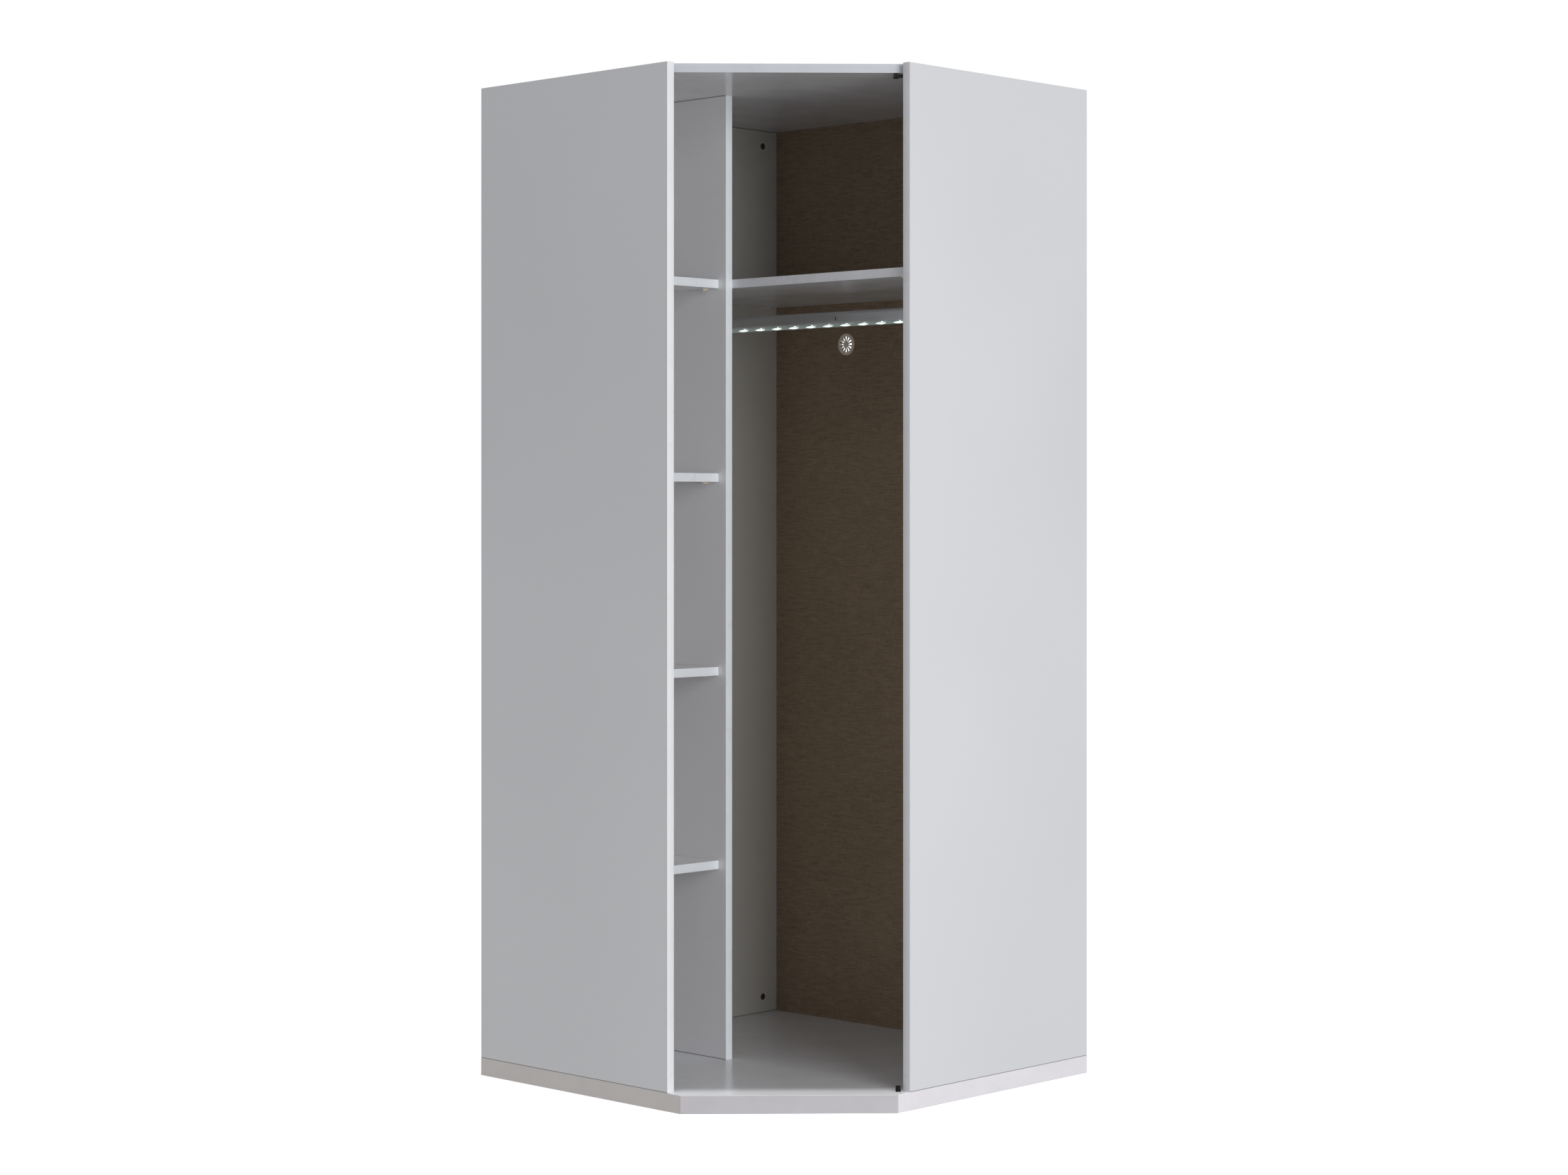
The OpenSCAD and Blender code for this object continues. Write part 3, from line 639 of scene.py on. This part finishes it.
class WARDROBE_OT_boards(bpy.types.Operator):
    """Finish the carcass boards and glue an edging strip to each front edge"""

    bl_idname = "wardrobe.boards"
    bl_label = "Boards and edging"

    def execute(self, context):
        colours, sizes, _ = settings(context)
        shelves = [f"bay_shelf_{i}" for i in range(1, 5)]
        at_base, at_top = box("bottom_board")[1][2] + GAP / 2, box("top_board")[0][2] - GAP / 2
        # The second and third foils are the same white foil, with painted light on the inner boards and
        # painted warm shade on the rear wall.
        outer = foil_board(colours, "white_melamine_foil", colours.foil, [at_base])
        lit_inner_foil = foil_board(colours, "fresh_melamine_foil", colours.inner_foil_painted_light, [at_base, at_top])
        wall = foil_board(colours, "warm_melamine_foil", colours.wall_foil_painted_shade, [at_base, at_top])
        outer_boards = ["left_side_panel", "right_side_panel", "bottom_board", "hat_shelf"]
        finish_nodes(outer, outer_boards, sizes.board_arris)
        finish_nodes(lit_inner_foil, ["divider_panel", "top_board", *shelves], sizes.board_arris)
        finish_nodes(wall, ["rear_left_wall"], sizes.board_arris)
        plain = edging_strip("abs_edging", colours.edging, 0.3)
        # Copies of one strip with painted light and shade: lighter where an edge faces the key light,
        # lightest on the left panel, darker on the top board.
        lit_strip = edging_strip("bright_abs_edging", colours.bright_edging, 0.3)
        highlit_strip = edging_strip("brightest_abs_edging", colours.left_edging, 0.3)
        shaded_strip = edging_strip("cool_abs_edging", colours.cool_edging, 0.3)
        # Each strip ends a hair short of its board's end.
        thick, proud, margin = sizes.band_thickness / MM, sizes.band_proud / MM, 0.1

        def bar(name, strip, body, start, end, out, width):
            """A strip with rounded arrises, sunk in a board's edge from start to end and facing out."""
            arris = thick / 2 - 0.05
            along = (end - start) / np.linalg.norm(end - start)
            half, back, front = width / 2 - arris, proud - thick + arris, proud - arris
            core = [(-half, back), (half, back), (half, front), (-half, front)]
            grid = prism(core, [(arris, 0), (arris, np.linalg.norm(end - start))], 4)
            points = place(grid, start, np.cross(out, along), out, along)
            piece(name, [surface(points)], strip, body)

        def edge(board, strip, out, along, body="carcass", skip=0.0):
            """A strip over the whole edge of a board that faces out, less the first part if skip is given."""
            low, high = box(board)
            size = high - low
            front, reach_along = (low + high + out * (size @ abs(out))) / 2, size @ along / 2 - margin
            start, end = front - along * (reach_along - skip), front + along * reach_along
            bar(f"{board}_edging", strip, body, start, end, out, size @ abs(np.cross(out, along)))

        edge("left_side_panel", highlit_strip, X, Z)
        edge("right_side_panel", plain, -Y, Z)
        edge("divider_panel", lit_strip, X, Z)
        edge("hat_shelf", plain, -Y, X, skip=box("divider_panel")[1][0] - box("hat_shelf")[0][0])
        for name in shelves:
            edge(name, lit_strip, X, Y, name)
        # The top board's front lies on the line x - y = front, between the two side panels.
        low, high = box("top_board")
        front = reach("top_board", OUT_OF_FRONT) * ROOT2
        z = (low[2] + high[2]) / 2
        inner_y, inner_x = box("left_side_panel")[1][1], box("right_side_panel")[0][0]
        start = np.array((front + inner_y, inner_y, z)) + 4 * margin * ALONG_FRONT
        end = np.array((inner_x, inner_x - front, z)) - 4 * margin * ALONG_FRONT
        bar("top_board_edging", shaded_strip, "carcass", start, end, OUT_OF_FRONT, high[2] - low[2])
        return {"FINISHED"}


class WARDROBE_OT_base(bpy.types.Operator):
    """Finish the base: edging round it and raw strips under it"""

    bl_idname = "wardrobe.base"
    bl_label = "Base"

    def execute(self, context):
        colours, sizes, _ = settings(context)
        # Each side gets its own tone of the same edging, with the light and shade on that side painted into
        # it.
        for side in ("front", "left", "right"):
            edging = edging_strip(f"abs_base_edging_{side}", getattr(colours, f"base_{side}"), 0.34)
            finish_nodes(edging, [f"base_edging_{side}"], 0.6 * MM)
        raw = moulded("raw_chipboard", colours.chip_light, 0.85, grain=2.2, depth=0.2, contrast=0.22)
        sides = ("front", "left", "right", "rear_left", "rear_right")
        finish_nodes(raw, [f"plinth_strip_{s}" for s in sides], sizes.fitting_arris)
        return {"FINISHED"}


class WARDROBE_OT_linen(bpy.types.Operator):
    """Finish the linen-faced back"""

    bl_idname = "wardrobe.linen"
    bl_label = "Linen back"

    def execute(self, context):
        colours, sizes, _ = settings(context)
        finish_nodes(linen_back(colours, sizes.thread), ["rear_right_back"])
        return {"FINISHED"}


class WARDROBE_OT_supports(bpy.types.Operator):
    """Make the cream supports under the shelves"""

    bl_idname = "wardrobe.supports"
    bl_label = "Shelf supports"

    def execute(self, context):
        colours, sizes, _ = settings(context)
        nylon = moulded(
            "cream_nylon", colours.nylon, 0.42, grain=0.6, IOR=1.53,
            Subsurface_Weight=0.15, Subsurface_Radius=(2.0 * MM, 1.5 * MM, 1.0 * MM),
        )
        low, high = box("bay_shelf_supports")
        arris = sizes.fitting_arris / MM
        # A tongue with a round nose lies a hair under the shelf, and a peg runs from it into the board.
        half_w, tongue, thick, corner, hair = 4.5, 14.0, 4.0, 1.0, 0.02
        peg_r, peg_length, peg_arris, peg_start = 2.45, 9.0, 0.6, 0.2
        turn = np.linspace(0, np.pi, 9)
        nose = np.stack((np.cos(turn), np.sin(turn)), 1) * (half_w - corner) + (0, tongue - half_w)
        core = [(corner - half_w, corner), (half_w - corner, corner), *nose.tolist()]
        tongue_part = prism(core, round_off(corner, -thick, -hair, arris), 2)
        peg_part = prism(dot(), round_off(peg_r, 0, peg_length, peg_arris), 5)
        peg_part = place(peg_part, (0, peg_start, -thick / 2), X, Z, -Y)

        def supports(name, node, places):
            """The same support at each place, given as a point on a board and the way out of the board."""
            parts = []
            for at, out in places:
                axes = (np.cross(out, Z), out, Z)
                parts += [surface(place(p, at, *axes)) for p in (tongue_part, peg_part)]
            piece(name, parts, nylon, "carcass", [node])

        panel_y, divider_y = box("left_side_panel")[1][1], box("divider_panel")[0][1]
        columns = (low[0] + half_w, high[0] - half_w)
        places = []
        for i in range(1, 5):
            z = box(f"bay_shelf_{i}")[0][2]
            for x in columns:
                places += [((x, panel_y, z), Y), ((x, divider_y, z), -Y)]
        supports("bay_shelf_pins", "bay_shelf_supports", places)
        low, high = box("hat_shelf_supports")
        z = box("hat_shelf")[0][2]
        wall_x, side_x = box("rear_left_wall")[1][0], box("right_side_panel")[0][0]
        rows = (low[1] + half_w, high[1] - half_w)
        places = [((wall_x, y, z), X) for y in rows] + [((side_x, y, z), -X) for y in rows]
        # The one on the divider stands four holes of the 32 mm row behind the bay's front supports.
        places.append(((columns[1] - 4 * 32, box("divider_panel")[1][1], z), Y))
        supports("hat_shelf_pins", "hat_shelf_supports", places)
        return {"FINISHED"}


class WARDROBE_OT_rail(bpy.types.Operator):
    """Make the oval clothes rail and its two end brackets"""

    bl_idname = "wardrobe.rail"
    bl_label = "Clothes rail"

    def execute(self, context):
        colours, sizes, _ = settings(context)
        low, high = box("clothes_rail")
        middle, half_h, half_w = (low + high) / 2, (high[2] - low[2]) / 2, (high[1] - low[1]) / 2
        aluminium = anodised_rail(colours)
        # Section: the oval from one lip of the channel round to the other, then the channel itself.
        lip, deep, chamfer = 4.0, 4.0, 0.3
        turn = math.asin(lip / half_w)
        foot = np.linspace(-np.pi / 2 + turn, 0, 10)
        head = np.linspace(0, np.pi, 25)
        right = np.stack((half_w * np.cos(foot), half_w - half_h + half_w * np.sin(foot)), 1)
        top = np.stack((half_w * np.cos(head), half_h - half_w + half_w * np.sin(head)), 1)
        left = right[::-1] * (-1, 1)
        bed = deep - half_h
        channel = [(-lip, bed - chamfer), (chamfer - lip, bed), (lip - chamfer, bed), (lip, bed - chamfer)]
        section = np.concatenate((right, top, left, channel))
        points = along_x(section + middle[1:], np.linspace(low[0], high[0], 9))
        wall = ("SOLIDIFY", {"thickness": sizes.rail_wall, "offset": -1.0, "use_even_offset": True})
        tube = surface(points, caps=(False, False))
        piece("oval_rail", [tube], aluminium, "carcass", ["clothes_rail"], [wall])

        # Bracket: a plate on the board with a collar round the rail, whose open end has a rounded rim.
        plate_t, plate_arris, play, collar, rim, sunk = 3.0, 0.9, 0.2, 1.6, 0.8, 0.3
        inside = half_w + play
        t = np.linspace(0, np.pi, 7)
        cast = moulded("satin_zinc_casting", colours.aluminium, 0.38, grain=0.5, depth=0.015, Metallic=1.0)
        for name, out in (("rail_bracket_wall", X), ("rail_bracket_side", -X)):
            low, high = box(name)
            at = (low[0] if out is X else high[0], middle[1], middle[2])
            axes = (np.cross(Z, out), Z, out)
            plate_r, total = (high[1] - low[1]) / 2, high[0] - low[0]
            spine = (high[2] - low[2]) / 2 - plate_r
            plate = prism([(0, -spine), (0, spine)], round_off(plate_r, 0, plate_t, plate_arris), 16)
            lip_rows = np.stack((inside + collar / 2 * (1 + np.cos(t)), total - rim + rim * np.sin(t)), 1)
            foot = plate_t - sunk
            rows = np.concatenate(([(inside + collar, foot)], lip_rows, [(inside, foot)]))
            ring = place(prism([(0, half_w - half_h), (0, half_h - half_w)], rows, 16), at, *axes)
            parts = [surface(place(plate, at, *axes)), surface(ring, wrap=(True, True), caps=(False, False))]
            piece(f"{name}_casting", parts, cast, "carcass", [name])
        steel = moulded("blackened_steel", colours.zinc, 0.45, grain=0.4, Metallic=0.9)
        finish_nodes(steel, ["rail_bracket_screws"], 0.2 * MM)
        return {"FINISHED"}


class WARDROBE_OT_light(bpy.types.Operator):
    """Make the light in the rail: board, chips, cover, sensor and batteries"""

    bl_idname = "wardrobe.light"
    bl_label = "Rail light"

    def execute(self, context):
        colours, _, _ = settings(context)
        low, high = box("light_cover")
        rail_low, rail_high = box("clothes_rail")
        rail_mid = (rail_low + rail_high) / 2
        chips_low, chips_high = box("light_chips")
        chip, chip_count = 3, 16
        pitch = (chips_high[0] - chips_low[0] - chip) / (chip_count - 1)
        top = rail_low[2]
        glow = lit_cover(colours, (chips_low[0] + chip / 2) * MM, pitch * MM, top * MM, (top - low[2]) * MM)
        # Section: a trough with a round bottom, open upwards, made thick by Solidify.
        half = (high[1] - low[1]) / 2
        turn = np.linspace(np.pi, 2 * np.pi, 17)
        bowl = np.stack((half * np.cos(turn), half * np.sin(turn)), 1) + (0, low[2] + half)
        section = np.concatenate(([(-half, high[2])], bowl, [(half, high[2])])) + (rail_mid[1], 0)
        points = along_x(section, np.linspace(low[0], high[0], 33))
        wall = ("SOLIDIFY", {"thickness": 0.8 * MM, "offset": -1.0, "use_even_offset": True})
        trough = surface(points, wrap=(False, False), caps=(False, False))
        piece("light_trough", [trough], glow, "carcass", ["light_cover"], [wall])
        finish_nodes(lit_phosphor(colours), ["light_chips"])
        mask = moulded("white_solder_mask", linear("dfe3dc"), 0.4, grain=1.0, IOR=1.5)
        finish_nodes(mask, ["light_board"])

        # Sensor lens: a disc sunk in the rail's wall, with a low dome that stands out from it
        lens = moulded(
            "smoked_acrylic_lens", linear("1d2026"), 0.12, grain=0.3, depth=0.002, IOR=1.49, Coat_Weight=0.6
        )
        low, high = box("light_sensor")
        radius, sunk, rim, crown = (high[0] - low[0]) / 2, 1.0, 0.1, 0.5
        t = np.linspace(0, np.pi / 2 - 0.12, 7)
        dome = np.concatenate(([(radius, -sunk)], np.stack((radius * np.cos(t), rim + crown * np.sin(t)), 1)))
        x = (low[0] + high[0]) / 2
        parts = [
            surface(place(prism(dot(), dome, 6), (x, rail_low[1], z), X, Z, -Y))
            for z in (low[2] + radius, high[2] - radius)
        ]
        piece("sensor_lenses", parts, lens, "carcass", ["light_sensor"])

        black = moulded("black_abs_tray", colours.black, 0.45, grain=0.7, IOR=1.5)
        finish_nodes(black, ["battery_tray"], 0.3 * MM)
        sleeve = moulded("printed_cell_sleeve", linear("7c8086"), 0.3, grain=2.0, contrast=0.12, Metallic=0.4)
        finish_nodes(sleeve, ["battery_cells"], 0.3 * MM)
        return {"FINISHED"}


class WARDROBE_OT_vent(bpy.types.Operator):
    """Make the round slotted vent in the linen-faced back"""

    bl_idname = "wardrobe.vent"
    bl_label = "Vent rosette"

    def execute(self, context):
        colours, _, _ = settings(context)
        low, high = box("vent_rosette")
        face_y = box("rear_right_back")[0][1]
        centre = ((low[0] + high[0]) / 2, face_y, (low[2] + high[2]) / 2)
        outer, proud, slots = (high[0] - low[0]) / 2, face_y - low[1], 12
        # The slots run between two radii, and their half widths grow from the hub to the rim.
        slot_in, slot_out, half_in, half_out = 8.0, outer - 7, 1.1, 3.0
        plastic = vent_moulding(colours, np.array(centre), slot_in, slot_out)
        # Rings (radius, share of the height): hub, slotted band, groove, and a rim that curls to the board
        rings = np.array([
            (1.0, 1.0), (4.0, 0.98), (6.4, 0.92), (7.3, 0.80),
            (slot_in, 0.72), (10.5, 0.70), (13.5, 0.70), (16.0, 0.70), (slot_out, 0.74),
            (20.2, 0.90), (21.8, 1.0), (22.3, 0.96), (22.6, 0.68), (23.2, 0.66),
            (23.5, 0.94), (24.0, 1.0), (24.8, 0.9), (25.3, 0.6), (outer, 0.1),
        ])
        radius, height = rings[:, 0], rings[:, 1] * proud
        share = np.clip((radius - slot_in) / (slot_out - slot_in), 0, 1)
        widest = np.clip(radius, slot_in, slot_out)
        alpha = np.arcsin((half_in + (half_out - half_in) * share) / widest)[:, None]
        # Columns: each slot's arc in some steps, then the rib beside it in others
        step, slot_steps, rib_steps = 2 * np.pi / slots, 4, 6
        in_slot, in_rib = np.arange(slot_steps) / slot_steps, np.arange(rib_steps) / rib_steps
        theta = np.concatenate((alpha * (2 * in_slot - 1), alpha + (step - 2 * alpha) * in_rib), 1)
        theta = (np.arange(slots)[None, :, None] * step + theta[:, None, :]).reshape(len(rings), -1)
        flat = radius[:, None, None] * np.stack((np.cos(theta), np.sin(theta)), 2)
        points = np.concatenate((flat, np.broadcast_to(height[:, None, None], theta.shape + (1,))), 2)
        in_band = (radius[:-1] >= slot_in) & (radius[1:] <= slot_out)
        slotted = np.arange(theta.shape[1]) % (slot_steps + rib_steps) < slot_steps
        keep = ~np.outer(in_band, slotted)
        axes = (X, Z, -Y)
        plate = surface(place(points[::-1], centre, *axes), caps=(False, True), keep=keep[::-1])
        # A collar behind the plate runs through the board.
        collar_r, back, front = outer - 3.6, -7.6, 0.4
        tube = prism(dot(), [(collar_r, back), (collar_r, front)], 12)
        collar = surface(place(tube, centre, *axes), caps=(False, False))
        wall = ("SOLIDIFY", {"thickness": 1.4 * MM, "offset": -1.0})
        soft = ("BEVEL", {
            "width": 0.25 * MM, "segments": 2, "limit_method": "ANGLE", "angle_limit": math.radians(50),
        })
        parts = [plate, collar]
        piece("slotted_vent", parts, plastic, "carcass", ["vent_rosette"], [wall, soft])
        return {"FINISHED"}


class WARDROBE_OT_joinery(bpy.types.Operator):
    """Finish the cam locks, cam bolts and dowels"""

    bl_idname = "wardrobe.joinery"
    bl_label = "Joinery"

    def execute(self, context):
        colours, _, _ = settings(context)
        cast = moulded(
            "darkened_zinc_casting", colours.zinc, 0.42, grain=0.5, depth=0.03, contrast=0.15, Metallic=0.9
        )
        finish_nodes(cast, ["cam_locks", "cam_bolts"], 0.25 * MM)
        finish_nodes(beech_wood(colours), ["wooden_dowels"], 0.3 * MM)
        return {"FINISHED"}


class WARDROBE_OT_damper(bpy.types.Operator):
    """Make the door damper under the top board and the bumper on the base"""

    bl_idname = "wardrobe.damper"
    bl_label = "Damper and bumper"

    def execute(self, context):
        colours, _, _ = settings(context)
        black = moulded("black_polypropylene", colours.black, 0.4, grain=0.7, IOR=1.49)
        rubber = moulded(
            "black_rubber", colours.black, 0.7, grain=0.9, depth=0.04, IOR=1.5, Specular_IOR_Level=0.2
        )
        finish_nodes(black, ["damper_housing"], 0.6 * MM)
        inward = -OUT_OF_FRONT
        front = (ALONG_FRONT, inward, Z)

        def laid_out(points):
            """The surface of a grid measured along the front, into the wardrobe and up."""
            return surface(place(points, (0, 0, 0), *front))

        # Plunger: a round rod with a domed tip and a chamfered shoulder, turned about its own axis.
        plunger = frame_box("damper_plunger", front)
        x, z = (plunger[0][0] + plunger[1][0]) / 2, (plunger[0][2] + plunger[1][2]) / 2
        tip, end = plunger[0][1], plunger[1][1]
        rod_r, dome_h, shoulder_r, chamfer = 2.0, 1.6, 2.7, 0.55
        shoulder = end - 2.5
        t = np.linspace(0.12, np.pi / 2, 7)
        dome = np.stack((rod_r * np.sin(t), tip + dome_h * (1 - np.cos(t))), 1)
        rows = np.concatenate((dome, [
            (rod_r, shoulder), (shoulder_r - chamfer, shoulder), (shoulder_r, shoulder + chamfer),
            (shoulder_r, end - 0.25), (shoulder_r - 0.2, end),
        ]))
        rod = place(prism(dot(), rows, 8), (x, 0, z), X, -Z, Y)
        piece("damper_pin", [laid_out(rod)], black, "damper_plunger", ["damper_plunger"])

        # Spring: round wire carried along a helix about the plunger's axis, its turns closer at both ends.
        # In use it shortens by the plunger's travel, towards the housing's rear wall; here it keeps the
        # length of its part.
        coil = frame_box("damper_spring", front)
        wire, turns, closing = 0.3, 8, 0.7
        coil_r = (coil[1][0] - coil[0][0]) / 2 - wire
        first, last = coil[0][1] + wire, coil[1][1] - wire
        u = np.linspace(0, 1, turns * 16 + 1)[:, None]
        around = np.linspace(0, 2 * np.pi, 8, endpoint=False)
        share = u - closing * np.sin(2 * np.pi * u) / (2 * np.pi)
        height = first + (last - first) * share + wire * np.sin(around)
        radius, turn = coil_r + wire * np.cos(around), 2 * np.pi * turns * u
        wound = np.stack((x + radius * np.cos(turn), height, z + radius * np.sin(turn)), 2)
        steel = moulded("spring_steel", linear("a9adb3"), 0.3, grain=0.3, Metallic=1.0)
        spring = piece("damper_coil", [laid_out(wound)], steel, "carcass", ["damper_spring"])
        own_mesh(spring)

        # Screw: a domed head with a cross cut into it, deepest at its middle, over a plain shank.
        screw = frame_box("damper_screw", front)
        centre = (screw[0] + screw[1]) / 2 * (1, 1, 0)
        head_r, head_t, edge_t = (screw[1][0] - screw[0][0]) / 2, 1.8, 0.5
        cut_half, cut_reach, cut_depth, fade = 0.42, 2.1, 1.1, 2.6
        shank_r, shank_arris, overlap = 1.75, 0.6, 0.1
        radius = np.linspace(0.02, 1, 15)[:, None] * head_r
        angle = np.linspace(0, 2 * np.pi, 72, endpoint=False)
        px, py = radius * np.cos(angle), radius * np.sin(angle)
        dome = edge_t + (head_t - edge_t) * np.sqrt(np.clip(1 - (radius / head_r) ** 2.4, 0, 1))
        cross = (np.minimum(np.abs(px), np.abs(py)) < cut_half) & (radius < cut_reach)
        cut = np.where(cross, cut_depth * (1 - radius / fade), 0)
        cap = np.stack((px, py, dome - cut), 2)[::-1]
        skirt = np.concatenate((cap[:1] * (1, 1, 0), cap))
        neck = screw[0][2] + head_t
        head = place(skirt, centre + (0, 0, neck), X, -Y, -Z)
        shank = prism(dot(), round_off(shank_r, neck - overlap, screw[1][2], shank_arris), 5) + centre
        steel = moulded("blackened_steel_screw", colours.zinc, 0.4, grain=0.3, Metallic=0.9)
        parts = [laid_out(head), laid_out(shank)]
        piece("damper_cross_screw", parts, steel, "carcass", ["damper_screw"])

        # Bumper: a block of rubber with round corners, narrower at its top, with a shallow dish there.
        low, high = frame_box("door_bumper", front)
        half, centre = (high - low) / 2, (high + low) / 2 * (1, 1, 0)
        corner, arris, dish_in, dish_depth, taper = 1.4, 1.1, 0.4, 0.7, 0.05
        rows = round_off(corner, low[2], high[2], arris, 4)
        rows = np.concatenate((rows, [(-corner, high[2]), (-corner - dish_in, high[2] - dish_depth)]))
        wide, deep = half[0] - corner, half[1] - corner
        block = prism([(-wide, -deep), (wide, -deep), (wide, deep), (-wide, deep)], rows, 5)
        block[..., :2] *= 1 - taper * (block[..., 2:3] - low[2]) / (high[2] - low[2])
        block = laid_out(block + centre)
        piece("rubber_bumper", [block], rubber, "carcass", ["door_bumper"])
        return {"FINISHED"}


class WARDROBE_PT_panel(bpy.types.Panel):
    """Lists the wardrobe's operators and properties."""

    bl_label = "Corner wardrobe"
    bl_idname = "WARDROBE_PT_panel"
    bl_space_type = "VIEW_3D"
    bl_region_type = "UI"
    bl_category = "Wardrobe"

    def draw(self, context):
        for operator in OPERATORS:
            self.layout.operator(operator.bl_idname)
        for group in settings(context):
            for key in group.bl_rna.properties.keys():
                if key not in ("rna_type", "name"):
                    self.layout.prop(group, key)


GROUPS = {
    "wardrobe_colours": WardrobeColours, "wardrobe_sizes": WardrobeSizes, "wardrobe_studio": WardrobeStudio,
}
OPERATORS = (
    WARDROBE_OT_stage, WARDROBE_OT_boards, WARDROBE_OT_base, WARDROBE_OT_linen, WARDROBE_OT_supports,
    WARDROBE_OT_rail, WARDROBE_OT_light, WARDROBE_OT_vent, WARDROBE_OT_joinery, WARDROBE_OT_damper,
)


def register():
    for cls in (*GROUPS.values(), *OPERATORS, WARDROBE_PT_panel):
        bpy.utils.register_class(cls)
    for name, group in GROUPS.items():
        setattr(bpy.types.Scene, name, PointerProperty(type=group))


def unregister():
    for name in GROUPS:
        delattr(bpy.types.Scene, name)
    for cls in (WARDROBE_PT_panel, *reversed(OPERATORS), *GROUPS.values()):
        bpy.utils.unregister_class(cls)


def main():
    """Registers the add-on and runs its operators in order."""
    register()
    for operator in OPERATORS:
        group, name = operator.bl_idname.split(".")
        getattr(getattr(bpy.ops, group), name)()
    bpy.context.view_layer.update()


if __name__ == "__main__":
    main()
